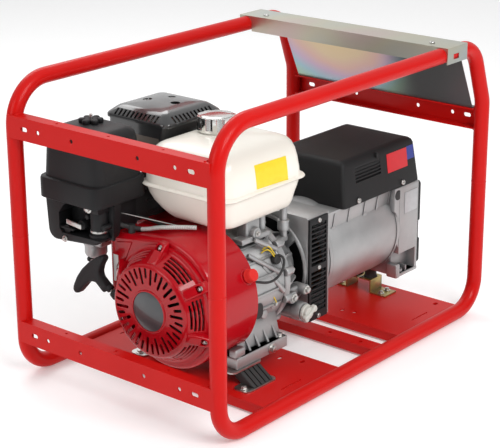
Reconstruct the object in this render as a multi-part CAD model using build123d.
from build123d import *
import math
import os

os.makedirs("parts", exist_ok=True)

# Open-frame portable generator set.  Millimetres, +Z up, origin on the floor
# under the middle of the frame.  The engine is at -X and the alternator at +X.

# ---- driving dimensions: tube frame
TUBE_R = 16.0
TUBE_WALL = 2.5
LOOP_X = 432.0
LOOP_Y = 256.0
LOOP_TOP_Z = 607.0
KINK_Z = 480.0
END_LEAN = 45.0
LOWER_BEND_R = 65.0
UPPER_BEND_R = 85.0
KINK_BEND_R = 60.0
WELD_Z = 300.0
RAIL_HEIGHT = 45.0
RAIL_DEPTH = 26.0
SHEET = 3.0
RAIL_HOLE_R = 4.5
RAIL_HOLE_YS = (84.0, 174.0)
RAIL_SLOT_Y = 212.0
RAIL_SLOT_LENGTH = 18.0
UPPER_RAIL_Z = 504.0
LOWER_RAIL_Z = 79.0
FAR_RAIL_Z = 416.0
PLATE_TOP = 24.0
PLATE_FOLD = 20.0
CAP_SHEET = 2.0

# ---- driving dimensions: engine and alternator
AXIS_Y = -24.0
AXIS_Z = 190.0
SHAFT_R = 17.5
RUN_GAP = 0.05
CYL_X = -147.5
CYL_TILT = 25.0
BORE_R = 44.0
THROW = 32.0
WEB_R = 54.0
ROD_LENGTH = 110.0
CASE_X0 = -243.0
CASE_X1 = -88.0
COVER_X1 = -33.0
CASE_R = 100.0
FOOT_Z = 57.0
CAM_Y = AXIS_Y + 19.0
CAM_Z = AXIS_Z - 60.0
SHROUD_R = 134.0
SHROUD_X0 = -318.0
SHROUD_X1 = -200.0
RECOIL_X = -366.0
ROPE_ANGLE = 38.0
ROPE_RADIUS = 64.3
ROPE_X = -343.0
GUIDE_AT = 97.0
TANK_SEAM_Z = 400.0
TANK_BOTTOM_Z = 335.0
TANK_TOP_Z = 485.0
FUEL_CAP_AT = (-112.0, 20.0)
KNOB_AT = (-303.0, 178.0)
SWITCH_ANGLE = 155.0
SWITCH_X = -218.0
OIL_CAP_AT = (-45.0, 120.0)
CHOKE_AT = (150.0, 326.0)
BELL_X0 = -9.0
STATOR_X0 = 62.0
CASTING_X0 = 318.0
CASTING_X1 = 390.0
END_X1 = 402.0
STATOR_R = 106.0
STATOR_BORE_R = 98.0
BOX_Z0 = 290.0
BOX_Z1 = 386.0


# ---- shape helpers

def block(x0, x1, y0, y1, z0, z1):
    """Box between two opposite corners."""
    middle = Pos((x0 + x1) / 2, (y0 + y1) / 2, (z0 + z1) / 2)
    return middle * Box(x1 - x0, y1 - y0, z1 - z0)


def rod_x(x0, x1, y, z, r):
    """Round bar along X."""
    return Pos((x0 + x1) / 2, y, z) * Rot(0, 90, 0) * Cylinder(r, x1 - x0)


def rod_y(y0, y1, x, z, r):
    """Round bar along Y."""
    return Pos(x, (y0 + y1) / 2, z) * Rot(90, 0, 0) * Cylinder(r, y1 - y0)


def rod_z(z0, z1, x, y, r):
    """Round bar along Z."""
    return Pos(x, y, (z0 + z1) / 2) * Cylinder(r, z1 - z0)


def on_axis(x0, x1, r):
    """Round bar on the crankshaft and alternator axis."""
    return rod_x(x0, x1, AXIS_Y, AXIS_Z, r)


def ring(x0, x1, outer_r, inner_r):
    """Plain ring on the crankshaft and alternator axis."""
    return on_axis(x0, x1, outer_r) - on_axis(x0, x1, inner_r)


def slice_x(points, x0, x1):
    """Prism along X of an outline given in (y, z)."""
    plane = Plane(origin=(x0, 0, 0), x_dir=(0, 1, 0), z_dir=(1, 0, 0))
    outline = make_face(Polyline(*points, close=True))
    return extrude(plane * outline, amount=x1 - x0)


def slice_y(points, y0, y1):
    """Prism along Y of an outline given in (x, z)."""
    plane = Plane(origin=(0, y1, 0), x_dir=(1, 0, 0), z_dir=(0, -1, 0))
    outline = make_face(Polyline(*points, close=True))
    return extrude(plane * outline, amount=y1 - y0)


def lathe(points):
    """Body of revolution about the crankshaft axis, outline in (x, radius)."""
    plane = Plane(origin=(0, AXIS_Y, AXIS_Z), x_dir=(1, 0, 0), z_dir=(0, -1, 0))
    outline = plane * make_face(Polyline(*points, close=True))
    return revolve(outline, axis=Axis((0, AXIS_Y, AXIS_Z), (1, 0, 0)))


def mirrored(shape):
    """Mirror a shape across the vertical plane through the engine axis."""
    return mirror(shape, about=Plane.XZ.offset(-AXIS_Y))


def group(*solids):
    """Several separate solids kept in one node."""
    return Compound(children=[piece for shape in solids for piece in shape.solids()])


def save(name, shape):
    """Write one node."""
    export_step(shape, f"parts/{name}.step")


# ---- tube frame

def loop_halves(y, radius):
    """Lower and upper half of one side loop, swept with the given radius."""
    far_x = LOOP_X - END_LEAN
    lower = FilletPolyline(
        (-LOOP_X, y, WELD_Z), (-LOOP_X, y, TUBE_R), (LOOP_X, y, TUBE_R), (LOOP_X, y, WELD_Z),
        radius=[LOWER_BEND_R, LOWER_BEND_R])
    upper = FilletPolyline(
        (-LOOP_X, y, WELD_Z), (-LOOP_X, y, LOOP_TOP_Z), (far_x, y, LOOP_TOP_Z),
        (LOOP_X, y, KINK_Z), (LOOP_X, y, WELD_Z),
        radius=[UPPER_BEND_R, KINK_BEND_R, KINK_BEND_R])
    start = Plane(origin=(-LOOP_X, y, WELD_Z))
    return [sweep(start * Circle(radius), path=path) for path in (lower, upper)]


def side_loop(y):
    """One side loop: two bent tubes butt-welded on the uprights."""
    outside = loop_halves(y, TUBE_R)
    inside = loop_halves(y, TUBE_R - TUBE_WALL)
    return group(*[tube - bore for tube, bore in zip(outside, inside)])


def tube_envelopes():
    """Solid tubes that cope the ends of what is welded between the loops."""
    return loop_halves(-LOOP_Y, TUBE_R) + loop_halves(LOOP_Y, TUBE_R)


def coped(shape):
    """Cut the ends of a cross member to the side tubes."""
    for tube in TUBES:
        shape = shape - tube
    return Part() + max(shape.solids(), key=lambda solid: solid.volume)


def end_rail(web_x, inward, z0):
    """C-channel across one end, with round holes and end slots in its web."""
    z1 = z0 + RAIL_HEIGHT
    xs = sorted((web_x, web_x + inward * RAIL_DEPTH))
    hollow_xs = sorted((web_x + inward * SHEET, web_x + inward * (RAIL_DEPTH + 1)))
    rail = block(*xs, -LOOP_Y, LOOP_Y, z0, z1)
    rail = rail - block(*hollow_xs, -LOOP_Y, LOOP_Y, z0 + SHEET, z1 - SHEET)
    middle_z = z0 + RAIL_HEIGHT / 2
    web_xs = sorted((web_x - inward, web_x + inward * (SHEET + 1)))
    for side in (-1, 1):
        for hole_y in RAIL_HOLE_YS:
            rail = rail - rod_x(*web_xs, side * hole_y, middle_z, RAIL_HOLE_R)
        reach = RAIL_SLOT_LENGTH / 2 - RAIL_HOLE_R
        centre_y = side * RAIL_SLOT_Y
        rail = rail - block(*web_xs, centre_y - reach, centre_y + reach,
                            middle_z - RAIL_HOLE_R, middle_z + RAIL_HOLE_R)
        for slot_end in (centre_y - reach, centre_y + reach):
            rail = rail - rod_x(*web_xs, slot_end, middle_z, RAIL_HOLE_R)
    for hole_y in (-135.0, 0.0, 135.0):
        rail = rail - rod_z(z1 - SHEET - 1, z1 + 1, web_x + inward * 14, hole_y, 3.0)
    return coped(rail)


def base_plate(x0, x1, holes):
    """Folded plate across the lower tubes; holes are (x, y, radius, slot length)."""
    underside = PLATE_TOP - PLATE_FOLD
    plate = block(x0, x1, -LOOP_Y, LOOP_Y, underside, PLATE_TOP)
    plate = plate - block(x0 + SHEET, x1 - SHEET, -LOOP_Y, LOOP_Y, underside - 1, PLATE_TOP - SHEET)
    for x, y, r, length in holes:
        half = max(length / 2 - r, 0.0)
        plate = plate - rod_z(PLATE_TOP - 5, PLATE_TOP + 1, x - half, y, r)
        if half:
            plate = plate - rod_z(PLATE_TOP - 5, PLATE_TOP + 1, x + half, y, r)
            plate = plate - block(x - half, x + half, y - r, y + r, PLATE_TOP - 5, PLATE_TOP + 1)
    return coped(plate)


def top_cap():
    """Zinc cap over both upper tubes, with end flanges and a coped inner flange."""
    x0, x1 = 262.0, 335.0
    reach = LOOP_Y + TUBE_R + CAP_SHEET
    z1 = LOOP_TOP_Z + TUBE_R + CAP_SHEET
    z0 = z1 - 34
    cap = block(x0, x1, -reach, reach, z0, z1)
    cap = cap - block(x0 + CAP_SHEET, x1 + 1, -reach + CAP_SHEET, reach - CAP_SHEET, z0 - 1, z1 - CAP_SHEET)
    for side in (-1, 1):
        window_y = side * (reach - 1)
        cap = cap - block(284, 304, window_y - 4, window_y + 4, z0 + 8, z0 + 19)
        cap = cap - rod_z(z1 - 5, z1 + 1, CAP_SCREW_X, side * CAP_SCREW_Y, 3.2)
        cap = cap - block(x0 - 1, x0 + 5, side * LOOP_Y - TUBE_R, side * LOOP_Y + TUBE_R, z0 - 1, LOOP_TOP_Z)
    return coped(cap)


CAP_SCREW_X = 287.0
CAP_SCREW_Y = 219.0
CAP_TOP = LOOP_TOP_Z + TUBE_R + CAP_SHEET


def heat_panel():
    """Leaning zinc panel from the far rail up under the cap."""
    half = 235.0
    foot_z = FAR_RAIL_Z + RAIL_HEIGHT
    under_cap = CAP_TOP - CAP_SHEET
    t = CAP_SHEET
    outline = [
        (443, foot_z), (443, foot_z + t), (428, foot_z + t), (368, 594), (334, under_cap),
        (270, under_cap), (270, under_cap - t), (333, under_cap - t), (366, 592.5), (426.5, foot_z)]
    panel = slice_y(outline, -half, half)
    for side in (-1, 1):
        panel = panel - rod_z(under_cap - 5, under_cap + 1, CAP_SCREW_X, side * CAP_SCREW_Y, 3.2)
    return panel - rod_z(foot_z - 1, foot_z + 5, 436, 0, 3.2)


def pan_screw(x, y, seat_z, length):
    """Pan-head screw with its head on seat_z and its shank below."""
    return rod_z(seat_z, seat_z + 4, x, y, 6) + rod_z(seat_z - length, seat_z, x, y, 3.1)


TUBES = tube_envelopes()
save("front_loop", side_loop(-LOOP_Y))
save("rear_loop", side_loop(LOOP_Y))
save("upper_end_rail", end_rail(-LOOP_X - TUBE_R, 1, UPPER_RAIL_Z))
save("lower_end_rail", end_rail(-LOOP_X - TUBE_R, 1, LOWER_RAIL_Z))
save("far_end_rail", end_rail(LOOP_X + TUBE_R, -1, FAR_RAIL_Z))
ENGINE_PLATE_HOLES = [
    (-172, -218, 2.0, 62), (-172, 218, 2.0, 62), (-86, -120, 4.5, 14), (-72, -168, 4.5, 14),
    (-86, 120, 4.5, 14), (-72, 168, 4.5, 14)]
ALTERNATOR_PLATE_HOLES = [
    (200, -66, 4.5, 12), (206, -94, 4.5, 12), (358, -205, 4.5, 14), (275, -218, 2.0, 60),
    (275, 218, 2.0, 60), (358, 205, 4.5, 14)]
CHANNEL_HOLES = [(84, -120, 4.5, 0), (84, 40, 4.5, 0), (84, -200, 4.5, 0), (84, 120, 4.5, 0)]
save("engine_plate", base_plate(-285, -47, ENGINE_PLATE_HOLES))
save("alternator_plate", base_plate(160, 382, ALTERNATOR_PLATE_HOLES))
save("mid_channel", base_plate(66, 102, CHANNEL_HOLES))
save("top_cap", top_cap())
save("heat_panel", heat_panel())
save("panel_screws", group(
    pan_screw(CAP_SCREW_X, -CAP_SCREW_Y, CAP_TOP, 12), pan_screw(CAP_SCREW_X, CAP_SCREW_Y, CAP_TOP, 12),
    pan_screw(436, 0, FAR_RAIL_Z + RAIL_HEIGHT + CAP_SHEET, 2)))


# ---- mounts under the engine and the alternator

RUBBER_Z0 = PLATE_TOP + SHEET
RUBBER_Z1 = FOOT_Z - SHEET
BRACKET_X0 = 316.0
BRACKET_X1 = 360.0
BRACKET_TOP = 56.0


def both_sides(shape):
    """A shape and its mirror image, as one node."""
    return group(shape, mirrored(shape))


def alternator_bracket():
    """Z-bracket from the base plate up to the rubber under the end casting."""
    outline = [
        (-98, PLATE_TOP), (-55, PLATE_TOP), (-55, BRACKET_TOP - SHEET), (-26.5, BRACKET_TOP - SHEET),
        (-26.5, BRACKET_TOP), (-58, BRACKET_TOP), (-58, PLATE_TOP + SHEET), (-98, PLATE_TOP + SHEET)]
    bracket = slice_x(outline, BRACKET_X0, BRACKET_X1)
    for x in (BRACKET_X0 + 10, BRACKET_X1 - 10):
        bracket = bracket - rod_z(PLATE_TOP - 1, RUBBER_Z0 + 1, x, -80, 4)
    return bracket


engine_pad = [(-142, RUBBER_Z1), (-106, RUBBER_Z1), (-144, RUBBER_Z0), (-180, RUBBER_Z0)]
upper_plate = block(-266, -166, -146, -100, RUBBER_Z1, FOOT_Z)
lower_plate = block(-262, -160, -186, -140, PLATE_TOP, RUBBER_Z0)
save("mount_plates", both_sides(group(upper_plate, lower_plate)))
save("mount_rubbers", both_sides(group(
    slice_x(engine_pad, -238, -178), rod_z(BRACKET_TOP, 80, 338, -42.5, 15))))
save("alternator_brackets", both_sides(alternator_bracket()))
save("mount_bolts", both_sides(group(
    rod_z(RUBBER_Z0, RUBBER_Z0 + 6, -250, -163, 6.5), rod_z(80, 87, -232, -128, 7.5),
    rod_z(80, 87, -100, -128, 7.5), rod_z(RUBBER_Z0, RUBBER_Z0 + 4, BRACKET_X0 + 10, -80, 6.5),
    rod_z(RUBBER_Z0, RUBBER_Z0 + 4, BRACKET_X1 - 10, -80, 6.5))))


# ---- engine: castings and crank train

tilt = math.radians(CYL_TILT)
CYLINDER = Plane(
    origin=(CYL_X, AXIS_Y, AXIS_Z), x_dir=(1, 0, 0), z_dir=(0, math.cos(tilt), math.sin(tilt))).location
BARREL_START = 60.0
DECK = 178.0
HEAD_END = 222.0
ROCKER_END = 250.0
BARREL_HALF = 59.5
FIN_PITCH = 12.0


def along(u0, u1, width, height):
    """Box on the cylinder axis between two distances from the crankshaft."""
    return CYLINDER * Pos(0, 0, (u0 + u1) / 2) * Box(width, height, u1 - u0)


def round_along(u0, u1, r):
    """Round bar on the cylinder axis."""
    return CYLINDER * Pos(0, 0, (u0 + u1) / 2) * Cylinder(r, u1 - u0)


def finned(shape, u0, u1, width, height, depth):
    """Cut cooling grooves across a box on the cylinder axis."""
    u = u0
    while u < u1:
        groove = along(u, u + FIN_PITCH / 2, width + 10, height + 10)
        core = along(u, u + FIN_PITCH / 2, width - 2 * depth, height - 2 * depth)
        shape = shape - (groove - core)
        u += FIN_PITCH
    return shape


def crankcase():
    """Crankcase and cylinder barrel casting, open on its +X side."""
    barrel = finned(along(BARREL_START, DECK, 2 * BARREL_HALF, 116), 106, 170, 2 * BARREL_HALF, 116, 9)
    case = on_axis(CASE_X0, CASE_X1, CASE_R)
    case = case + block(CASE_X0, CASE_X1, -112, 72, FOOT_Z + 13, AXIS_Z)
    case = case + block(CASE_X0, CASE_X1, -140, 92, FOOT_Z, 80) + barrel
    for y in (-86, 38):
        case = case + rod_z(AXIS_Z + 60, TANK_BOTTOM_Z, -104, y, 9)
    case = case - on_axis(CASE_X0 + 15, CASE_X1, 88)
    case = case - rod_x(CASE_X0 + 15, CASE_X1, CAM_Y, CAM_Z, 46)
    case = case - round_along(BARREL_START, DECK, BORE_R)
    case = case - on_axis(CASE_X0 - 1, CASE_X0 + 16, SHAFT_R + RUN_GAP)
    return case - rod_x(CASE_X0 + 8, CASE_X0 + 16, CAM_Y, CAM_Z, 8 + RUN_GAP)


def side_cover():
    """Crankcase cover on the output side, with the oil filler neck."""
    cover = lathe([(CASE_X1, 0), (CASE_X1, 104), (-72, 104), (-72, 92), (COVER_X1, 78), (COVER_X1, 0)])
    neck = rod_y(-152, -80, *OIL_CAP_AT, 13) - rod_y(-153, -90, *OIL_CAP_AT, 9)
    cover = cover + neck
    cover = cover - lathe([(CASE_X1 - 1, 0), (CASE_X1 - 1, 88), (-72, 84), (-45, 68), (-45, 0)])
    cover = cover - rod_x(CASE_X1 - 1, -45, CAM_Y, CAM_Z, 14)
    cover = cover - rod_x(-46, -38, CAM_Y, CAM_Z, 8 + RUN_GAP)
    return cover - on_axis(-46, COVER_X1 + 1, SHAFT_R + RUN_GAP)


def crankshaft():
    """Crankshaft at top dead centre, with its throw along the cylinder axis."""
    pin_y = AXIS_Y + THROW * math.cos(tilt)
    pin_z = AXIS_Z + THROW * math.sin(tilt)
    shaft = on_axis(-334, -185, SHAFT_R) + on_axis(-110, 10, SHAFT_R) + on_axis(-106, -96, 20.8)
    shaft = shaft + rod_x(-166, -129, pin_y, pin_z, 18)
    for x0 in (-185, -130):
        web = CYLINDER * Pos(x0 + 10 - CYL_X, 0, -6) * Box(20, 62, 100)
        shaft = shaft + (web & on_axis(x0, x0 + 20, WEB_R))
    return shaft


def camshaft():
    """Camshaft with its gear and two lobes."""
    shaft = rod_x(-234, -39, CAM_Y, CAM_Z, 8) + rod_x(-106, -96, CAM_Y, CAM_Z, 41.6)
    for x, lift_z in ((-215, 5), (-78, 5)):
        shaft = shaft + rod_x(x, x + 14, CAM_Y, CAM_Z, 12) + rod_x(x, x + 14, CAM_Y, CAM_Z - lift_z, 9)
    return shaft


PISTON_PIN = THROW + ROD_LENGTH


def connecting_rod():
    """Rod from the gudgeon pin, ending just outside the crankpin's path."""
    def eye(u, r, thick):
        return CYLINDER * Pos(0, 0, u) * Rot(0, 90, 0) * Cylinder(r, thick)
    rod = eye(PISTON_PIN, 17, 24) + along(40, PISTON_PIN, 14, 22) + eye(THROW, 28, 24)
    rod = rod - eye(PISTON_PIN, 10.02, 30)
    rod = rod - (CYLINDER * Rot(0, 90, 0) * Cylinder(THROW + 18.6, 40))
    return Part() + max(rod.solids(), key=lambda solid: solid.volume)


def piston():
    """Piston with its gudgeon pin."""
    skirt = round_along(116, 176, BORE_R - 0.1) - round_along(115, 165, 38)
    pin = CYLINDER * Pos(0, 0, PISTON_PIN) * Rot(0, 90, 0) * Cylinder(10, 84)
    return group(skirt - pin, pin)


def cylinder_head():
    """Finned head with intake port boss and plug seat on its -X side."""
    head = finned(along(DECK, HEAD_END, 116, 124), 184, 216, 116, 124, 10)
    return head - round_along(DECK - 1, DECK + 12, 40) - PLUG_HOLE


def rocker_cover():
    """Pressed cover over the rockers."""
    cover = CYLINDER * Pos(0, 0, HEAD_END) * extrude(RectangleRounded(84, 100, 12), ROCKER_END - HEAD_END)
    return cover - along(HEAD_END - 1, ROCKER_END - 2, 72, 88)


PLUG_LOCATION = CYLINDER * Pos(-58, 35, 200) * Rot(0, -90, 0)
PLUG_HOLE = CYLINDER * Pos(-50, 35, 200) * Rot(0, -90, 0) * Cylinder(7.02, 30)


def spark_plug():
    """Threaded shell, hexagon and insulator."""
    shell = PLUG_LOCATION * Pos(0, 0, -5) * Cylinder(7, 10)
    hexagon = PLUG_LOCATION * extrude(RegularPolygon(11, 6), 9)
    insulator = PLUG_LOCATION * Pos(0, 0, 19) * Cylinder(5, 20)
    return shell + hexagon + insulator


def plug_cap():
    """Rubber cap over the insulator."""
    body = PLUG_LOCATION * Pos(0, 0, 28) * Cylinder(11, 36)
    return body - PLUG_LOCATION * Pos(0, 0, 20) * Cylinder(5.02, 22)


save("crankcase", crankcase())
save("side_cover", side_cover())
save("crankshaft", crankshaft())
save("camshaft", camshaft())
save("connecting_rod", connecting_rod())
save("piston", piston())
save("cylinder_head", cylinder_head())
save("rocker_cover", rocker_cover())
save("spark_plug", spark_plug())
save("plug_cap", plug_cap())


# ---- engine: fan side and recoil starter

def flywheel():
    """Flywheel with cooling blades and the starter cup."""
    wheel = lathe([(-312, SHAFT_R), (-312, 98), (-268, 98), (-268, 84), (-300, 84), (-300, 34),
                   (-268, 34), (-268, SHAFT_R)])
    wheel = wheel + lathe([(-334, 38), (-334, 42), (-312, 42), (-312, 38)])
    blade = block(-330, -311, AXIS_Y - 2, AXIS_Y + 2, AXIS_Z + 50, AXIS_Z + 92)
    for turn in range(12):
        wheel = wheel + blade.rotate(Axis((0, AXIS_Y, AXIS_Z), (1, 0, 0)), turn * 30)
    return wheel


def fan_shroud():
    """Blower housing round the flywheel, reaching over towards the cylinder."""
    def outline(inset, x0, x1):
        wing = [(-24, AXIS_Z), (60, 110 + inset), (108 - inset, 150 + inset), (125 - inset, 190),
                (125 - inset, 298 - inset), (116 - inset, 305 - inset), (-24, 324 - inset)]
        return on_axis(x0, x1, SHROUD_R - inset) + slice_x(wing, x0, x1)
    shroud = outline(0, SHROUD_X0, SHROUD_X1)
    shroud = fillet(shroud.faces().sort_by(Axis.X)[0].edges(), 12)
    shroud = shroud - outline(2.5, SHROUD_X0 + 14, SHROUD_X1 + 1)
    shroud = shroud - on_axis(SHROUD_X0 - 1, SHROUD_X0 + 15, 113)
    shroud = shroud - block(CASE_X0 - 6, SHROUD_X1 + 1, -200, 200, 0, 132)
    shroud = shroud - block(-212, SHROUD_X1 + 1, 40, 200, 100, 400)
    boss = SWITCH_LOCATION * Pos(0, 0, -12) * Cylinder(17, 24)
    shroud = shroud + (boss - on_axis(-240, -195, SHROUD_R - 1))
    return shroud - SWITCH_LOCATION * Pos(0, 0, -2) * Cylinder(6.05, 60)


def recoil_housing():
    """Starter housing with radial air slots, mounting ears and the reel post."""
    outer = [(RECOIL_X, 0), (RECOIL_X, 84), (RECOIL_X + 8, 94), (-326, 111), (SHROUD_X0, 111),
             (SHROUD_X0, 108), (-326, 108), (RECOIL_X + 9.5, 91), (RECOIL_X + 2.5, 82), (RECOIL_X + 2.5, 0)]
    housing = lathe(outer) + on_axis(RECOIL_X + 2, -338, 7.95)
    for turn in range(36):
        inner_r = 50 if turn % 2 else 60
        slot = block(RECOIL_X - 1, RECOIL_X + 4, AXIS_Y - 2.2, AXIS_Y + 2.2, AXIS_Z + inner_r, AXIS_Z + 81)
        housing = housing - slot.rotate(Axis((0, AXIS_Y, AXIS_Z), (1, 0, 0)), turn * 10 + 5)
    for angle in EAR_ANGLES:
        y = AXIS_Y + 120 * math.cos(math.radians(angle))
        z = AXIS_Z + 120 * math.sin(math.radians(angle))
        ear = rod_x(SHROUD_X0 - 8, SHROUD_X0, y, z, 10)
        housing = housing + (ear - on_axis(SHROUD_X0 - 9, SHROUD_X0 + 1, 108.5))
    guide = ROPE_LINE * Pos(0, 0, GUIDE_AT - 4) * Cylinder(9, 22) - on_axis(-360, -326, 106)
    housing = housing + guide - ROPE_LINE * Pos(0, 0, GUIDE_AT - 10) * Cylinder(2.8, 50)
    return housing


def starter_handle():
    """T-shaped pull grip on the rope, waiting against the guide."""
    grip = ROPE_LINE * Pos(0, -8, GUIDE_AT + 54) * Rot(90, 0, 0)
    stem = ROPE_LINE * Pos(0, 0, GUIDE_AT + 30) * Cylinder(7, 45)
    bar = grip * Cylinder(11, 88)
    return stem + bar + grip * Pos(0, 0, -44) * Sphere(11) + grip * Pos(0, 0, 44) * Sphere(11)


EAR_ANGLES = (30.0, 104.0, 152.0, 207.0, 300.0)
switch_cos = math.cos(math.radians(SWITCH_ANGLE))
switch_sin = math.sin(math.radians(SWITCH_ANGLE))
SWITCH_LOCATION = Plane(
    origin=(SWITCH_X, AXIS_Y + SHROUD_R * switch_cos, AXIS_Z + SHROUD_R * switch_sin),
    x_dir=(1, 0, 0), z_dir=(0, switch_cos, switch_sin)).location
rope = math.radians(ROPE_ANGLE)
ROPE_LINE = Plane(
    origin=(ROPE_X, AXIS_Y + ROPE_RADIUS * math.sin(rope), AXIS_Z - ROPE_RADIUS * math.cos(rope)),
    x_dir=(1, 0, 0), z_dir=(0, math.cos(rope), math.sin(rope))).location

save("flywheel", flywheel())
save("fan_shroud", fan_shroud())
save("recoil_housing", recoil_housing())
save("housing_badge", on_axis(RECOIL_X - 2, RECOIL_X, 42))
save("starter_reel", lathe([(-350, 8), (-350, 72), (-347, 72), (-347, 58), (-339, 58), (-339, 72),
                            (-336, 72), (-336, 8)]))
save("starter_rope", ring(-346, -340, 67, 58.1))
save("starter_handle", starter_handle())
switch_grip = SWITCH_LOCATION * Pos(0, 0, 7.3) * Cylinder(13, 14)
save("engine_switch", switch_grip + SWITCH_LOCATION * Pos(0, 0, -8) * Cylinder(6, 20))
lead_route = FilletPolyline(
    (-196, -141, 233), (-168, -143, 222), (-136, -139, 222), (-114, -130, 236), radius=[22, 20])
lead_start = Plane(origin=(-196, -141, 233), z_dir=(28, -2, -11))
lead = sweep(lead_start * Circle(2.5), path=lead_route)
lead_plug = Pos(-107, -126.5, 240.5) * Box(10, 14, 16)
save("switch_lead", group(lead - lead_plug, lead_plug))


# ---- engine: fuel, air and exhaust

def pan(x0, x1, y0, y1, z, height, taper, corner):
    """Drafted tray-like solid with rounded corners, growing up or down from z."""
    plan = RectangleRounded(x1 - x0, y1 - y0, corner)
    middle = Pos((x0 + x1) / 2, (y0 + y1) / 2, z)
    return extrude(middle * plan, amount=height, taper=taper)


def fuel_tank():
    """Welded tank with a flanged seam, a raised filler neck and a hollow inside."""
    def body(inset):
        upper = pan(-262 + inset, -9 - inset, -130 + inset, 96 - inset, TANK_SEAM_Z, 85 - inset, 11, 38)
        lower = pan(-262 + inset, -9 - inset, -130 + inset, 96 - inset, TANK_SEAM_Z, inset - 65, 14, 38)
        return upper + lower
    outer = body(0) + pan(-269, -2, -137, 103, TANK_SEAM_Z - 2, 4, 0, 50)
    outer = outer + rod_z(TANK_TOP_Z - 1, TANK_TOP_Z + 5, *FUEL_CAP_AT, 27)
    outer = outer - body(1.5)
    return outer - rod_z(TANK_TOP_Z - 8, TANK_TOP_Z + 6, *FUEL_CAP_AT, 24)


def fuel_cap():
    """Scalloped screw cap over the filler neck."""
    cap = rod_z(TANK_TOP_Z + 0.5, TANK_TOP_Z + 22, *FUEL_CAP_AT, 35)
    for turn in range(8):
        angle = math.radians(turn * 45)
        x = FUEL_CAP_AT[0] + 39 * math.cos(angle)
        y = FUEL_CAP_AT[1] + 39 * math.sin(angle)
        cap = cap - rod_z(TANK_TOP_Z, TANK_TOP_Z + 23, x, y, 6)
    return cap - rod_z(TANK_TOP_Z, TANK_TOP_Z + 7, *FUEL_CAP_AT, 28)


def air_cleaner_base():
    """Tray and front elbow cover under the air cleaner."""
    tray = pan(-386, -245, 84, 241, 382, 36, 0, 26) - pan(-382, -249, 88, 237, 386, 40, 0, 22)
    front = block(-372, -322, 82, 240, 288, 382)
    front = fillet(front.edges().filter_by(Axis.X).sort_by(Axis.Z)[:2], 20)
    front = front - block(-369, -325, 85, 237, 291, 387)
    duct = block(-323, -316, 160, 205, 291, 303)
    stud = rod_z(384, 534, *KNOB_AT, 4)
    pivot = rod_x(-376, -371, *CHOKE_AT, 4)
    return tray + front + duct + stud + pivot


def carburettor():
    """Carburettor body, float bowl, drain screw and intake pipe."""
    body = block(-316, -264, 150, 212, 258, 303) + rod_z(233, 258, -291, 190, 22)
    return body + rod_x(-264, -205.6, 155, 288, 14) + rod_z(222, 233, -300, 204, 5)


def muffler():
    """Muffler can and exhaust pipe from the head."""
    can = block(-185, -45, 110, 222, 408, 484)
    can = fillet(can.edges().filter_by(Axis.X), 22) - block(-183, -47, 125, 207, 412, 480)
    pipe = rod_z(300, 409, -112, 137, 14) - rod_z(290, 407, -112, 137, 11)
    return can + (pipe - along(DECK, HEAD_END, 116, 124) - along(BARREL_START, DECK, 119, 116))


def muffler_guard():
    """Slotted heat guard over the muffler."""
    def hood(inset):
        skirt = block(-197 + inset, -28 - inset, 81 + inset, 240 - inset, 489, 496)
        crown = pan(-197 + inset, -28 - inset, 81 + inset, 240 - inset, 496, 16 - inset, 44, 1)
        return skirt + crown
    guard = hood(0) - hood(1.6)
    for x in range(-176, -44, 12):
        guard = guard - block(x, x + 6, 70, 90, 494, 504) - block(x, x + 6, 230, 250, 494, 504)
    back = block(-197, -28, 110, 240, 440, 489) - block(-195, -30, 109, 238, 439, 490)
    return guard + back


save("fuel_tank", fuel_tank())
save("fuel_cap", fuel_cap())
save("air_cleaner_base", air_cleaner_base())
cover_shell = pan(-382, -249, 88, 237, 418, 96, 5, 26) - pan(-379, -252, 91, 234, 417, 94, 5, 24)
save("air_cleaner_cover", cover_shell - rod_z(500, 520, *KNOB_AT, 4.1))
filter_ring = rod_z(392, 490, *KNOB_AT, 44) - rod_z(391, 491, *KNOB_AT, 30)
save("filter_element", filter_ring)
knob = rod_z(514.4, 530, *KNOB_AT, 12)
for turn in range(5):
    lobe = math.radians(turn * 72)
    knob = knob + rod_z(514.4, 527, KNOB_AT[0] + 17 * math.cos(lobe), KNOB_AT[1] + 17 * math.sin(lobe), 7)
save("air_cleaner_knob", knob - rod_z(514, 531, *KNOB_AT, 4.05))
save("carburettor", carburettor())
choke_grip = block(-376, -372.6, CHOKE_AT[0] - 6, CHOKE_AT[0] + 34, CHOKE_AT[1] - 4, CHOKE_AT[1] + 4)
choke_hub = rod_x(-376, -372.6, *CHOKE_AT, 8)
save("choke_lever", choke_grip + choke_hub - rod_x(-377, -371, *CHOKE_AT, 4.05))
save("muffler", muffler())
save("muffler_guard", muffler_guard())
oil_cap = rod_y(-170, -152.3, *OIL_CAP_AT, 15)
cap_x, cap_z = OIL_CAP_AT
oil_cap = oil_cap + block(cap_x - 20, cap_x + 20, -170, -160, cap_z - 4, cap_z + 4)
save("oil_filler_cap", oil_cap + rod_y(-152.4, -92, *OIL_CAP_AT, 4))
bolts = [rod_y(-148, -140, -137, 68, 8)]
for angle in range(0, 360, 60):
    bolt_y = AXIS_Y + 98 * math.cos(math.radians(angle + 15))
    bolt_z = AXIS_Z + 98 * math.sin(math.radians(angle + 15))
    bolts.append(rod_x(-72, -66, bolt_y, bolt_z, 5))
save("engine_bolts", group(*bolts))
cable_points = [
    (-300, 132, 308), (-296, 104, 317), (-290, 60, 324), (-280, 16, 330), (-262, -20, 331), (-240, -46, 331)]
cable_route = FilletPolyline(*cable_points, radius=[50, 90, 90, 60])
cable_start = Plane(origin=cable_points[0], z_dir=(4, -28, 9))
save("control_cable", sweep(cable_start * Circle(3.5), path=cable_route))


# ---- alternator

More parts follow.
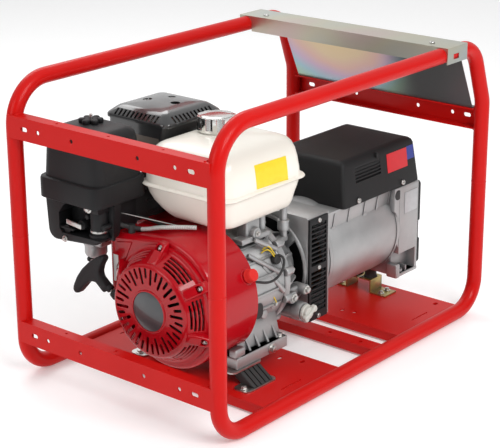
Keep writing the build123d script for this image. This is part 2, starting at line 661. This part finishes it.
def bell_housing():
    """Square adapter casting between engine and stator, with side air windows."""
    bell = block(BELL_X0, STATOR_X0, -131, 83, 77, 305)
    bell = bell - on_axis(BELL_X0 + 6, STATOR_X0 + 1, 102) - on_axis(BELL_X0 - 1, BELL_X0 + 7, 97)
    for z0, z1 in ((92, 186), (196, 290)):
        bell = bell - block(0, 46, -140, 92, z0, z1)
    spider = ring(COVER_X1, BELL_X0 + 6, 62, 46)
    for angle in (45, 135, 225, 315):
        arm = block(BELL_X0, BELL_X0 + 6, AXIS_Y - 9, AXIS_Y + 9, AXIS_Z + 60, AXIS_Z + 103)
        spider = spider + arm.rotate(Axis((0, AXIS_Y, AXIS_Z), (1, 0, 0)), angle)
    return bell + spider


def louvre_grille(y0, y1):
    """Louvred plate over one side window of the bell."""
    plate = block(BELL_X0, 50, y0, y1, 78, 304)
    for column_z in (94, 200):
        for row in range(9):
            z = column_z + row * 10
            plate = plate - block(0, 46, y0 - 1, y1 + 1, z, z + 6.5)
    return plate


def stator_frame():
    """Round stator casing with a flat seat for the terminal box."""
    casing = on_axis(STATOR_X0, CASTING_X0, STATOR_R) - block(STATOR_X0, CASTING_X0, -200, 200, BOX_Z0, 400)
    return casing - on_axis(STATOR_X0 - 1, CASTING_X0 + 1, STATOR_BORE_R)


def end_casting():
    """Square end casting with the bearing seat, foot pads and corner pockets."""
    casting = block(CASTING_X0, CASTING_X1, -130, 82, 80, 288)
    casting = casting - on_axis(CASTING_X0 - 1, CASTING_X1 - 6, 95)
    seat = ring(366, CASTING_X1 - 6, 36, 26.02)
    casting = casting - on_axis(CASTING_X1 - 7, CASTING_X1 + 1, 20) + seat
    for y0, y1 in ((-131, -104), (56, 83)):
        casting = casting - block(CASTING_X0 + 8, CASTING_X1 - 8, y0, y1, 86, 118)
    return casting


def terminal_box():
    """Drafted cover box on top of the stator, open below, vented on one side."""
    box = pan(116, 393, -128, 80, BOX_Z0, BOX_Z1 - BOX_Z0, 8, 14)
    box = box - pan(119, 390, -125, 77, BOX_Z0 - 1, BOX_Z1 - BOX_Z0 - 2, 8, 12)
    for row in range(5):
        box = box - block(170, 254, -140, -100, 336 + row * 8, 340 + row * 8)
    return box


save("bell_housing", bell_housing())
save("bell_grilles", group(louvre_grille(-136, -131), louvre_grille(83, 88)))
save("stator_frame", stator_frame())
save("stator_core", ring(95, 285, STATOR_BORE_R - 0.1, 68))
save("stator_windings", group(ring(76, 95, 92, 70), ring(285, 304, 92, 70)))
save("rotor", on_axis(10, 95, 20) + on_axis(95, 285, 66) + on_axis(285, 386, 12.5))
fan = ring(14, 20, 90, 20)
vane = block(20, 42, AXIS_Y - 1.5, AXIS_Y + 1.5, AXIS_Z + 50, AXIS_Z + 89)
for turn in range(12):
    fan = fan + vane.rotate(Axis((0, AXIS_Y, AXIS_Z), (1, 0, 0)), turn * 30)
save("alternator_fan", fan)
save("rear_bearing", ring(366, 382, 26, 12.5 + RUN_GAP))
save("end_casting", end_casting())
end_plate = block(CASTING_X1, END_X1, -128, 80, 92, 284)
save("end_cover", fillet(end_plate.edges().filter_by(Axis.X), 10))
save("terminal_box", terminal_box())
screws = [rod_y(-139, -136, x, z, 5) for x, z in ((20, 298), (20, 191), (20, 84))]
screws += [rod_y(88, 91, x, z, 5) for x, z in ((20, 298), (20, 191), (20, 84))]
screws += [rod_y(-132, -128.02, x, 296, 5.5) for x in (168, 330)]
save("alternator_screws", group(*screws))
